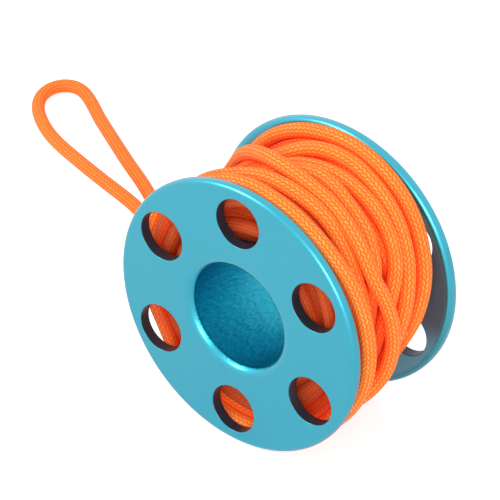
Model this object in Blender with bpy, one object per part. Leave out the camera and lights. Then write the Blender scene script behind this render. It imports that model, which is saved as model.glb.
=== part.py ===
"""Builds the finger spool: a turned and drilled metal spool wound with cord, whose free end is a loop.

Everything is in metres, with +Z up. The spool lies on both rims, its axis along Y and its front face
toward -Y, over the origin on the floor. Angles round the axis run from the top toward +X.
"""

import math

import bmesh
import bpy
import numpy as np
from mathutils import Vector

# The turned body
FLANGE_DIAMETER = 0.060
SPOOL_WIDTH = 0.034
FLANGE_THICKNESS = 0.0026
BORE_DIAMETER = 0.023
HUB_WALL = 0.003
BORE_MOUTH_RADIUS = 0.0018
RIM_EDGE_RADIUS = 0.0007
ROOT_RADIUS = 0.0008

# The holes through both flanges, and the metal between them and the rim and the hub
HOLES = 6
RIM_WEB = 0.0024
HUB_WEB = 0.0025
HOLE_CHAMFER = 0.00025
FIRST_HOLE_DEGREES = 1.55

# The cord
LINE_DIAMETER = 0.0031
TURN_GAP = 0.00046
FIT_GAP = 0.0003
HITCH_TURNS = 2
HITCH_WALL = 0.00024
OVERRUN = 0.002

# How finely the solids are drawn
LATHE_SIDES = 60
HOLE_SIDES = 24
STATIONS = 24
FINE = 4
LOOP_STATIONS = 44
LEAD_STATIONS = 16
LEAST_STRAND_GAP = 0.0004
LAYING_SLACK = 0.00001
LAYING_ROUNDS = 12

FLANGE_RADIUS = FLANGE_DIAMETER / 2
AXIS_HEIGHT = FLANGE_RADIUS * math.cos(math.pi / LATHE_SIDES)
INNER_FACE = SPOOL_WIDTH / 2 - FLANGE_THICKNESS
HUB_RADIUS = BORE_DIAMETER / 2 + HUB_WALL
HOLE_DIAMETER = FLANGE_RADIUS - RIM_WEB - HUB_RADIUS - HUB_WEB
HOLE_CIRCLE_RADIUS = FLANGE_RADIUS - RIM_WEB - HOLE_DIAMETER / 2
WOUND_DIAMETER = LINE_DIAMETER - TURN_GAP
POCKET_RADIUS = HUB_RADIUS + WOUND_DIAMETER + 2 * FIT_GAP + TURN_GAP
CORE_HALF_WIDTH = INNER_FACE - FIT_GAP - TURN_GAP
WINDING_REACH = INNER_FACE - LINE_DIAMETER / 2
STEP = 2 * math.pi / STATIONS
FIRST_STATION = -3
STATIONS_SKIPPED = 2

# Outer radius of the plain inner layers, every 15 degrees from the top, as shares of the way from the
# hitch's pocket out to the rim. The winding is lopsided: thick toward the upper right, thin toward the
# lower left.
FRONT_CORE_SHARES = (
    0.403, 0.453, 0.479, 0.441, 0.364, 0.326, 0.314, 0.314,
    0.314, 0.301, 0.275, 0.250, 0.237, 0.225, 0.225, 0.225,
    0.225, 0.232, 0.242, 0.263, 0.301, 0.339, 0.359, 0.377,
)
BACK_CORE_SHARES = (
    0.237, 0.339, 0.403, 0.453, 0.453, 0.390, 0.275, 0.161,
    0.097, 0.085, 0.097, 0.110, 0.123, 0.123, 0.123, 0.123,
    0.123, 0.123, 0.123, 0.123, 0.131, 0.141, 0.161, 0.192,
)
# The front layers run up to the back ones between these two places, as shares of the inner half width.
CORE_RAMP_SHARES = (-0.2, 0.3)
# Where each outer turn lies along the axis, as shares of the winding's reach to either side of its middle,
# read off the photograph's strands from 45 degrees before the top to 135 degrees past it. The turns are in
# the order they were wound, and each runs on round the hidden side to where the next one starts.
TURN_SHARES = (
    (0.231, 0.231, 0.231, 0.231, 0.231, 0.231, 0.231, 0.231, 0.231, 0.231, 0.231, 0.231, 0.233),
    (0.476, 0.476, 0.476, 0.476, 0.476, 0.476, 0.476, 0.476, 0.476, 0.476, 0.476, 0.476, 0.479),
    (0.721, 0.721, 0.721, 0.721, 0.721, 0.721, 0.721, 0.721, 0.721, 0.721, 0.721, 0.721, 0.724),
    (0.967, 0.967, 0.967, 0.967, 0.967, 0.967, 0.967, 0.967, 0.967, 0.967, 0.967, 0.967, 0.967),
    (0.934, 0.934, 0.939, 0.946, 0.990, 1.000, 0.969, 0.864, 0.724, 0.612, 0.502, 0.420, 0.350),
    (0.210, 0.268, 0.402, 0.551, 0.658, 0.677, 0.612, 0.495, 0.315, 0.093, -0.093, -0.175, -0.187),
    (-0.117, -0.082, 0.023, 0.182, 0.308, 0.350, 0.369, 0.187, -0.140, -0.339, -0.425, -0.439, -0.439),
    (-0.369, -0.332, -0.238, -0.093, 0.065, 0.005, -0.121, -0.355, -0.549, -0.661, -0.700, -0.700, -0.696),
    (-0.616, -0.579, -0.495, -0.339, -0.222, -0.257, -0.385, -0.635, -0.817, -0.922, -0.962, -0.962, -0.957),
    (-0.962, -0.962, -0.962, -0.962, -0.957, -0.957, -0.939, -0.911, -0.887, -0.887, -0.901, -0.934, -0.934),
    (-0.789, -0.784, -0.754, -0.588, -0.546, -0.509, -0.467, -0.404, -0.322, -0.275, -0.285, -0.327, -0.350),
    (0.665, 0.584, 0.093, -0.257, -0.525, -0.677, -0.700, -0.663, -0.612, -0.588, -0.598, -0.626, -0.642),
)
# How far the middle of each of those places stands out over the inner layers at least, as shares of the
# cord's diameter. Nothing here means that the turn lies right on them.
HELD_SHARES = (
    (0,) * 13,
    (0,) * 13,
    (0,) * 13,
    (0,) * 13,
    (2.16, 2.13, 2.06, 2.03, 1.89, 1.79, 1.65, 1.65, 1.74, 1.74, 1.65, 1.65, 1.55),
    (1.55, 1.65, 1.77, 1.94, 1.89, 1.79, 1.65, 1.65, 1.75, 1.63, 1.35, 1.09, 0.97),
    (0.92, 0.94, 1.13, 1.47, 1.72, 1.69, 1.65, 1.59, 1.27, 1.06, 0.97, 0.92, 0.92),
    (0.77, 0.75, 0.73, 0.92, 1.34, 1.47, 1.44, 1.16, 0.92, 0.87, 0.87, 0.87, 0.87),
    (0.77, 0.75, 0.73, 0.77, 0.92, 0.92, 0.87, 0.68, 0.63, 0.68, 0.68, 0.68, 0.68),
    (1.16, 1.18, 1.26, 1.40, 1.40, 1.40, 1.60, 1.94, 2.08, 2.08, 2.03, 2.01, 1.94),
    (1.55, 1.47, 1.40, 1.31, 1.11, 1.21, 1.60, 1.94, 2.08, 2.08, 2.03, 1.98, 1.89),
    (2.16, 2.13, 2.09, 1.74, 1.94, 1.60, 1.55, 1.69, 1.69, 1.69, 1.69, 1.69, 1.69),
)
# Where the last turn runs on to, 15 degrees a step, before it leaves the winding at the bottom.
LEAVING_SHARES = (-0.612, -0.560, -0.490)
# How high a turn may stand over its place before it is left out, as a share of the cord's diameter.
MOST_RISE_SHARE = 0.6

# The free line's route on the floor, x then y, as shares of the flange radius.
LEAD_SHARES = ((-0.45, -0.02), (-0.70, 0.19), (-0.95, 0.40), (-1.20, 0.585))
LEAD_DROP_SHARES = ((-0.14, 0.055), (-0.28, 0.018))
LOOP_SHARES = (
    (-2.075, 1.032), (-2.290, 1.159), (-2.508, 1.280), (-2.835, 1.372), (-3.181, 1.476), (-3.560, 1.560),
    (-3.840, 1.640), (-3.990, 1.800), (-4.085, 2.000), (-4.110, 2.180), (-3.980, 2.262), (-3.760, 2.190),
    (-3.450, 2.020), (-3.153, 1.835), (-2.784, 1.612), (-2.446, 1.392), (-2.230, 1.263), (-2.015, 1.136),
)
KNOT_SHARES = (-1.700, 0.880)
KNOT_DEGREES = 149.5
KNOT_WRAPS = 3
# The wrapped knot's section, as shares of the cord's diameter.
WRAP_CREST_SHARE = 1.5
WRAP_VALLEY_SHARE = 1.25
PAIR_SHARE = 0.57
RAISED_SHARE = 0.6


def clear_scene():
    for obj in list(bpy.data.objects):
        bpy.data.objects.remove(obj, do_unlink=True)


def material(name, colour, metallic, roughness):
    made = bpy.data.materials.new(name)
    made.use_nodes = True
    shader = made.node_tree.nodes["Principled BSDF"]
    shader.inputs["Base Color"].default_value = colour
    shader.inputs["Metallic"].default_value = metallic
    shader.inputs["Roughness"].default_value = roughness
    made.diffuse_color = colour
    return made


def add_object(name, data, finish):
    obj = bpy.data.objects.new(name, data)
    bpy.context.scene.collection.objects.link(obj)
    data.materials.append(finish)
    return obj


def on_ring(angle, radius, along):
    """A point at this angle from the top toward +X, this far from the axis and this far along it."""
    return Vector((radius * math.sin(angle), along, AXIS_HEIGHT + radius * math.cos(angle)))


def fillet(corner, start, end, segments):
    """Points of a rounded corner, from start to end about the corner."""
    points = []
    for i in range(segments + 1):
        turn = math.pi / 2 * i / segments
        points.append(tuple(
            c + (s - c) * (1 - math.sin(turn)) + (e - c) * (1 - math.cos(turn))
            for c, s, e in zip(corner, start, end)
        ))
    return points


def ring_mesh(name, rows, sides, first_angle):
    """A closed ring round the axis, from rows of (radius, along) or functions of the angle for them."""
    bm = bmesh.new()
    columns = []
    for i in range(sides):
        angle = first_angle + 2 * math.pi * i / sides
        pairs = [row(angle) if callable(row) else row for row in rows]
        columns.append([bm.verts.new(on_ring(angle, radius, along)) for radius, along in pairs])
    for i, column in enumerate(columns):
        beside = columns[(i + 1) % sides]
        for j in range(len(rows)):
            k = (j + 1) % len(rows)
            bm.faces.new((column[j], column[k], beside[k], beside[j]))
    bmesh.ops.recalc_face_normals(bm, faces=bm.faces)
    mesh = bpy.data.meshes.new(name)
    bm.to_mesh(mesh)
    bm.free()
    return mesh


def body_profile():
    """The turned section as (radius, along) pairs, round the bore, both faces, rims and inner walls."""
    face, rim = SPOOL_WIDTH / 2, FLANGE_RADIUS
    bore, mouth, edge = BORE_DIAMETER / 2, BORE_MOUTH_RADIUS, RIM_EDGE_RADIUS
    half = fillet((bore, face), (bore, face - mouth), (bore + mouth, face), 4)
    half += fillet((rim, face), (rim - edge, face), (rim, face - edge), 2)
    half += fillet((rim, INNER_FACE), (rim, INNER_FACE + edge), (rim - edge, INNER_FACE), 2)
    half += fillet((HUB_RADIUS, INNER_FACE), (HUB_RADIUS + ROOT_RADIUS, INNER_FACE),
                   (HUB_RADIUS, INNER_FACE - ROOT_RADIUS), 2)
    return half + [(radius, -along) for radius, along in reversed(half)]


def drill_profile():
    """The drill's radius along the axis: a chamfer at each of the four faces it passes."""
    radius, chamfer = HOLE_DIAMETER / 2, HOLE_CHAMFER
    face = SPOOL_WIDTH / 2
    flare = radius + chamfer + OVERRUN
    half = [
        (face + OVERRUN, flare), (face - chamfer, radius), (INNER_FACE + chamfer, radius),
        (INNER_FACE - OVERRUN, flare),
    ]
    return half + [(-along, wide) for along, wide in reversed(half)]


def drill_mesh():
    """One closed drill body for each hole of the circle, in one mesh."""
    bm = bmesh.new()
    for i in range(HOLES):
        angle = math.radians(FIRST_HOLE_DEGREES) + 2 * math.pi * i / HOLES
        centre = on_ring(angle, HOLE_CIRCLE_RADIUS, 0)
        rings = []
        for along, radius in drill_profile():
            ring = []
            for j in range(HOLE_SIDES):
                turn = 2 * math.pi * (j + 0.5) / HOLE_SIDES
                offset = Vector((radius * math.sin(turn), along, radius * math.cos(turn)))
                ring.append(bm.verts.new(centre + offset))
            rings.append(ring)
        for near, far in zip(rings, rings[1:]):
            for j in range(HOLE_SIDES):
                k = (j + 1) % HOLE_SIDES
                bm.faces.new((near[j], near[k], far[k], far[j]))
        bm.faces.new(rings[0])
        bm.faces.new(rings[-1])
    bmesh.ops.recalc_face_normals(bm, faces=bm.faces)
    mesh = bpy.data.meshes.new("flange_drill")
    bm.to_mesh(mesh)
    bm.free()
    return mesh


def build_body():
    first = math.pi / LATHE_SIDES
    mesh = ring_mesh("spool_body", body_profile(), LATHE_SIDES, first)
    body = add_object("spool_body", mesh, material("teal_anodised", (0.012, 0.42, 0.52, 1), 1.0, 0.34))
    drill = add_object("flange_drill", drill_mesh(), material("drill", (0.5, 0.5, 0.5, 1), 0.0, 0.5))
    drill.hide_render = True
    drill.display_type = "WIRE"
    cut = body.modifiers.new("flange_holes", "BOOLEAN")
    cut.operation = "DIFFERENCE"
    cut.solver = "EXACT"
    cut.object = drill
    return body


def around(shares, angle):
    """A table of 24 shares read at any angle, straight between its stations."""
    place = (angle % (2 * math.pi)) / STEP
    low = int(place) % STATIONS
    part = place - int(place)
    return shares[low] * (1 - part) + shares[(low + 1) % STATIONS] * part


def core_radius(angle, along):
    """Outer radius of the inner layers, which rise or fall from the front to the back."""
    low, high = CORE_RAMP_SHARES
    back = min(max((along / INNER_FACE - low) / (high - low), 0.0), 1.0)
    front_share, back_share = around(FRONT_CORE_SHARES, angle), around(BACK_CORE_SHARES, angle)
    return POCKET_RADIUS + (FLANGE_RADIUS - POCKET_RADIUS) * (front_share * (1 - back) + back_share * back)


def build_core(finish):
    """The inner layers as one plain ring, stepped inside to clear the hitch."""
    half, pocket = CORE_HALF_WIDTH, POCKET_RADIUS
    bore = HUB_RADIUS + ROOT_RADIUS + FIT_GAP
    low, high = hitch_span()
    outer = [i / 6 * 2 * half - half for i in range(7)]
    rows = [lambda angle, y=y: (core_radius(angle, y), y) for y in outer]
    rows += [(bore, half), (bore, high), (pocket, high), (pocket, low), (bore, low), (bore, -half)]
    mesh = ring_mesh("line_core", rows, 2 * STATIONS, 0.0)
    return add_object("line_core", mesh, finish)


def hitch_span():
    """Where the pocket for the hitch starts and ends along the axis, toward the back."""
    high = CORE_HALF_WIDTH - HITCH_WALL
    return high - LINE_DIAMETER * (HITCH_TURNS + 2), high


def tube(name, points, diameter, sides_step, finish, closed=False):
    """An unbroken round cord through the points, capped unless it's closed."""
    curve = bpy.data.curves.new(name, "CURVE")
    curve.dimensions = "3D"
    curve.bevel_depth = diameter / 2
    curve.bevel_resolution = sides_step
    curve.use_fill_caps = not closed
    spline = curve.splines.new("POLY")
    spline.points.add(len(points) - 1)
    for place, point in zip(spline.points, points):
        place.co = (*point, 1)
    spline.use_cyclic_u = closed
    return add_object(name, curve, finish)


def build_hitch(finish):
    """The first turns, tied tight round the hub inside the pocket of the inner layers."""
    low, high = hitch_span()
    radius = HUB_RADIUS + FIT_GAP + WOUND_DIAMETER / 2
    count = STATIONS * HITCH_TURNS
    middle = (low + high) / 2
    points = [
        on_ring(i * STEP, radius, middle + LINE_DIAMETER * (i / STATIONS - HITCH_TURNS / 2))
        for i in range(count)
    ]
    return tube("line_hitch", points, WOUND_DIAMETER, 1, finish)


def turn_places(turns):
    """Axial place of every station of these turns, in metres, from the first turn to the last."""
    places = []
    hidden = STATIONS - len(turns[0])
    for turn, following in zip(turns, turns[1:]):
        places += turn
        for i in range(1, hidden + 1):
            part = i / (hidden + 1)
            places.append(turn[-1] * (1 - part) + following[0] * part)
    places += turns[-1] + LEAVING_SHARES
    return np.array(places) * WINDING_REACH


def fine(values):
    """The straight run between stations, cut into FINE pieces each."""
    stations = np.arange(len(values))
    return np.interp(np.arange((len(values) - 1) * FINE + 1) / FINE, stations, values)


def held_out(rows, places):
    """How far each station stands out over the inner layers by the table, in metres, or zero."""
    held = []
    for shares in rows:
        held += shares + (0,) * (STATIONS - len(shares))
    return np.array(held[:places]) * LINE_DIAMETER


def lay_turns(kept):
    """Lays these turns of the tables in order, and says how high each stands over its own place."""
    along = turn_places([TURN_SHARES[turn] for turn in kept])
    count = len(along)
    angles = (np.arange(count) + FIRST_STATION) * STEP
    core = np.array([core_radius(a, y) for a, y in zip(angles, along)])
    held = held_out([HELD_SHARES[turn] for turn in kept], count)
    wanted = core + np.maximum(LINE_DIAMETER / 2 + FIT_GAP, held)
    floor = wanted.copy()
    fine_along = fine(along)
    radius = floor.copy()
    for first in range(0, count, STATIONS):
        last = min(first + STATIONS, count)
        for _ in range(LAYING_ROUNDS):
            radius[first:last] = floor[first:last]
            relax(radius, floor, first, last)
            lift = lift_needed(radius, fine_along, first, last)
            if not lift.any():
                break
            floor[first:last] = radius[first:last] + lift
    seen = len(TURN_SHARES[0])
    rises = [(radius - wanted)[STATIONS * i:STATIONS * i + seen].mean() for i in range(len(kept))]
    return angles, radius, along, rises


def lay_winding():
    """Angle, radius and axial place of every station: each turn lies on the core and on those before it.

    A narrower spool or a thicker cord has room for fewer turns. One that would stand too high over its
    place is left out.
    """
    kept = list(range(len(TURN_SHARES)))
    while True:
        angles, radius, along, rises = lay_turns(kept)
        high = [turn for turn, rise in zip(kept, rises) if rise > MOST_RISE_SHARE * LINE_DIAMETER]
        if not high:
            print(f"line_winding: {len(kept)} turns, the highest {1000 * max(rises):.2f} mm over its place")
            return angles, radius, along
        kept.remove(high[0])


def lift_needed(radius, fine_along, first, last):
    """How much each station of one turn has to rise to clear all turns laid before it."""
    lift = np.zeros(last - first)
    fine_radius = fine(radius)
    per_turn = STATIONS * FINE
    slope = np.gradient(fine_along) / (FLANGE_RADIUS * STEP / FINE)
    lean = 1 / np.sqrt(1 + slope ** 2)
    spacing = LINE_DIAMETER
    for i in range(max(first * FINE - FINE + 1, 0), (last - 1) * FINE + 1):
        wanted = 0.0
        for j in range(i - per_turn, -1, -per_turn):
            away = abs(fine_along[i] - fine_along[j]) * min(lean[i], lean[j])
            if away < spacing:
                wanted = max(wanted, fine_radius[j] + math.sqrt(spacing ** 2 - away ** 2))
        short = wanted - fine_radius[i]
        if short <= LAYING_SLACK:
            continue
        part = i / FINE - i // FINE
        weight = (1 - part) ** 2 + part ** 2
        for station, share in ((i // FINE, 1 - part), (i // FINE + 1, part)):
            if share and first <= station < last:
                lift[station - first] = max(lift[station - first], short * share / weight)
    return lift


def relax(radius, floor, first, last):
    """Pulls one turn tight: straight between the places that hold it up."""
    pull = math.cos(STEP)
    for _ in range(60):
        for i in range(first, last):
            before = radius[i - 1] if i else radius[i]
            after = radius[i + 1] if i + 1 < last else radius[i]
            chord = 2 * before * after * pull / (before + after)
            radius[i] = max(floor[i], chord)


def strand_gap(points, diameter, apart):
    """Least gap of a cord to itself, between points more than the given number of points apart."""
    steps = np.linspace(0, 1, FINE, endpoint=False)[None, :, None]
    dense = (points[:-1, None] * (1 - steps) + points[1:, None] * steps).reshape(-1, 3)
    least = math.inf
    for i in range(len(dense)):
        later = dense[i + apart * FINE:]
        if len(later):
            least = min(least, float(np.linalg.norm(later - dense[i], axis=1).min()))
    return least - diameter


def build_winding(finish):
    angles, radius, along = lay_winding()
    points = np.array([on_ring(a, r, y) for a, r, y in zip(angles, radius, along)])[STATIONS_SKIPPED:]
    gap = strand_gap(points, WOUND_DIAMETER, STATIONS // 2)
    print(f"line_winding: {len(points)} points, least gap to itself {1000 * gap:.2f} mm")
    print(f"line_winding: widest {1000 * (radius.max() + WOUND_DIAMETER / 2):.2f} mm from the axis, lowest "
          f"{1000 * (points[:, 2].min() - WOUND_DIAMETER / 2):.2f} mm over the floor")
    if gap < LEAST_STRAND_GAP:
        print("line_winding: the gap to itself is under the least allowed")
    tube("line_winding", points, WOUND_DIAMETER, 1, finish)
    return points


def smooth_path(route, count):
    """Evenly spaced points on a smooth curve through the route's own points."""
    route = np.asarray(route, float)
    ends = np.vstack([2 * route[0] - route[1], route, 2 * route[-1] - route[-2]])
    dense = []
    for p0, p1, p2, p3 in zip(ends, ends[1:], ends[2:], ends[3:]):
        for t in np.linspace(0, 1, 24, endpoint=False):
            dense.append(0.5 * (
                2 * p1 + (p2 - p0) * t + (2 * p0 - 5 * p1 + 4 * p2 - p3) * t ** 2
                + (3 * p1 - p0 - 3 * p2 + p3) * t ** 3
            ))
    dense = np.array(dense + [route[-1]])
    run = np.concatenate([[0], np.cumsum(np.linalg.norm(np.diff(dense, axis=0), axis=1))])
    wanted = np.linspace(0, run[-1], count)
    return np.stack([np.interp(wanted, run, dense[:, i]) for i in range(3)], 1)


def path_length(points):
    return float(np.linalg.norm(np.diff(points, axis=0), axis=1).sum())


def on_floor(shares):
    return [(x * FLANGE_RADIUS, y * FLANGE_RADIUS, LINE_DIAMETER / 2) for x, y in shares]


def knot_frame():
    """The knot's centre on its own axis, the direction toward the loop, and the direction across it."""
    turned = math.radians(KNOT_DEGREES)
    toward = Vector((math.cos(turned), math.sin(turned), 0))
    across = Vector((math.sin(turned), -math.cos(turned), 0))
    x, y = KNOT_SHARES
    centre = Vector((x * FLANGE_RADIUS, y * FLANGE_RADIUS, WRAP_CREST_SHARE * LINE_DIAMETER))
    return centre, toward, across


def knot_exit(side, aside):
    """Two points straight out of one end of the knot, one cord diameter apart, at the pair's height."""
    centre, toward, across = knot_frame()
    half = KNOT_WRAPS * LINE_DIAMETER / 2 + FIT_GAP
    at = Vector((centre.x, centre.y, LINE_DIAMETER / 2 + RAISED_SHARE * LINE_DIAMETER))
    at = at + across * (aside * PAIR_SHARE * LINE_DIAMETER)
    return [tuple(at + toward * (side * half)), tuple(at + toward * (side * (half + LINE_DIAMETER)))]


def build_lead(winding_points, finish):
    """The free line from the underside of the winding to the knot."""
    end, before = winding_points[-1], winding_points[-2]
    onward = (end - before) / np.linalg.norm(end - before)
    start = end + onward * FIT_GAP
    straight = start + onward * LINE_DIAMETER
    last_x, last_y = LEAD_SHARES[0][0] * FLANGE_RADIUS, LEAD_SHARES[0][1] * FLANGE_RADIUS
    drop = []
    for x, lift in LEAD_DROP_SHARES:
        part = (x * FLANGE_RADIUS - straight[0]) / (last_x - straight[0])
        level = min(LINE_DIAMETER / 2 + lift * FLANGE_RADIUS, straight[2])
        drop.append((x * FLANGE_RADIUS, straight[1] + (last_y - straight[1]) * part, level))
    route = [tuple(start), tuple(straight)] + drop + on_floor(LEAD_SHARES) + knot_exit(-1, 0)[::-1]
    points = smooth_path(route, LEAD_STATIONS)
    points[:, 2] = np.maximum(points[:, 2], LINE_DIAMETER / 2)
    print(f"line_lead: {1000 * path_length(points):.1f} mm long")
    return tube("line_lead", points, LINE_DIAMETER, 2, finish)


def build_loop(finish):
    """The free end: out of the knot, round and back into it."""
    route = knot_exit(1, -1) + on_floor(LOOP_SHARES) + knot_exit(1, 1)[::-1]
    points = smooth_path(route, LOOP_STATIONS)
    points[:, 2] = np.maximum(points[:, 2], LINE_DIAMETER / 2)
    gap = strand_gap(points, LINE_DIAMETER, LOOP_STATIONS // 3)
    print(f"line_loop: {1000 * path_length(points):.1f} mm long, least gap to itself {1000 * gap:.2f} mm")
    return tube("line_loop", points, LINE_DIAMETER, 2, finish)


def build_knot(finish):
    """The knot as tight wraps: a barrel with a rounded ridge for each, and flat ends for the strands."""
    centre, toward, across = knot_frame()
    half = KNOT_WRAPS * LINE_DIAMETER / 2
    valley, crest = WRAP_VALLEY_SHARE * LINE_DIAMETER, WRAP_CREST_SHARE * LINE_DIAMETER
    section = []
    for i in range(KNOT_WRAPS * 4 + 1):
        along = i / (KNOT_WRAPS * 4) * 2 * half - half
        section.append((valley + (crest - valley) * abs(math.sin(math.pi * i / 4)), along))
    bm = bmesh.new()
    rings = []
    for radius, along in section:
        ring = []
        for j in range(LATHE_SIDES // 3):
            turn = 2 * math.pi * (j + 0.5) / (LATHE_SIDES // 3)
            offset = across * (radius * math.sin(turn)) + Vector((0, 0, radius * math.cos(turn)))
            ring.append(bm.verts.new(centre + toward * along + offset))
        rings.append(ring)
    for near, far in zip(rings, rings[1:]):
        for j in range(len(near)):
            k = (j + 1) % len(near)
            bm.faces.new((near[j], near[k], far[k], far[j]))
    bm.faces.new(rings[0])
    bm.faces.new(rings[-1])
    bmesh.ops.recalc_face_normals(bm, faces=bm.faces)
    mesh = bpy.data.meshes.new("loop_knot")
    bm.to_mesh(mesh)
    bm.free()
    return add_object("loop_knot", mesh, finish)


def main():
    clear_scene()
    build_body()
    orange = (0.9, 0.13, 0.02, 1)
    build_core(material("orange_line_core", orange, 0.0, 0.7))
    build_hitch(material("orange_line_hitch", orange, 0.0, 0.7))
    winding = build_winding(material("orange_line_winding", orange, 0.0, 0.7))
    build_lead(winding, material("orange_line_lead", orange, 0.0, 0.7))
    build_knot(material("orange_line_knot", orange, 0.0, 0.7))
    build_loop(material("orange_line_loop", orange, 0.0, 0.7))


if __name__ == "__main__":
    main()
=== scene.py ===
"""Dresses the finger spool: satin teal metal, braided orange cord, a pale floor and soft light.

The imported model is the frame. Everything is in metres, with +Z up. The spool's axis runs along Y with its
front face toward -Y, and angles round the axis run from the top toward +X.
"""

import enum
import logging
import math
from collections.abc import Sequence
from dataclasses import dataclass, field

import bmesh
import bpy
import numpy as np
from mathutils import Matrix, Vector


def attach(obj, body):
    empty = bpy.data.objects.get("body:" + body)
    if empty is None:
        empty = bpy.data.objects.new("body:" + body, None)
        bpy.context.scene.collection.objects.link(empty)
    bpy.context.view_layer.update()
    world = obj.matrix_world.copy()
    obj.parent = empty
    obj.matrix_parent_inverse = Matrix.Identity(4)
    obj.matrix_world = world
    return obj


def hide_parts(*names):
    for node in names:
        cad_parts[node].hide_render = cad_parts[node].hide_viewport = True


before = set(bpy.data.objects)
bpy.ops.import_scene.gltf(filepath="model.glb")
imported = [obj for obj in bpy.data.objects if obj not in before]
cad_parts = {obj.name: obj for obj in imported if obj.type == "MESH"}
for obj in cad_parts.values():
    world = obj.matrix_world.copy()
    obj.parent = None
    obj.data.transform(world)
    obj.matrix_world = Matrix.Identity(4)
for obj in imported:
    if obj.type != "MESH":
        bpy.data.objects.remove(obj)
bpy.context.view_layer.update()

log = logging.getLogger("finger_spool")

Socket = bpy.types.NodeSocket
Node = bpy.types.Node
Value = float | Socket
Inputs = dict[str | int, object]
Span = tuple[float, float]
Place = tuple[float, float, float]
Colour = tuple[float, float, float, float]


class Slot(enum.Enum):
    """The record's material slots."""

    METAL = "anodised"
    CORD = "cord"


class Part(enum.Enum):
    """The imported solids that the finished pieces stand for."""

    BODY = "spool_body"
    CORE = "line_core"
    HITCH = "line_hitch"
    WINDING = "line_winding"
    LEAD = "line_lead"
    KNOT = "loop_knot"
    LOOP = "line_loop"


class Kind(enum.Enum):
    """What a node group's sockets carry."""

    NUMBER = "NodeSocketFloat"
    COUNT = "NodeSocketInt"
    VECTOR = "NodeSocketVector"
    SHAPE = "NodeSocketGeometry"
    PIECE = "NodeSocketObject"
    FINISH = "NodeSocketMaterial"


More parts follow.
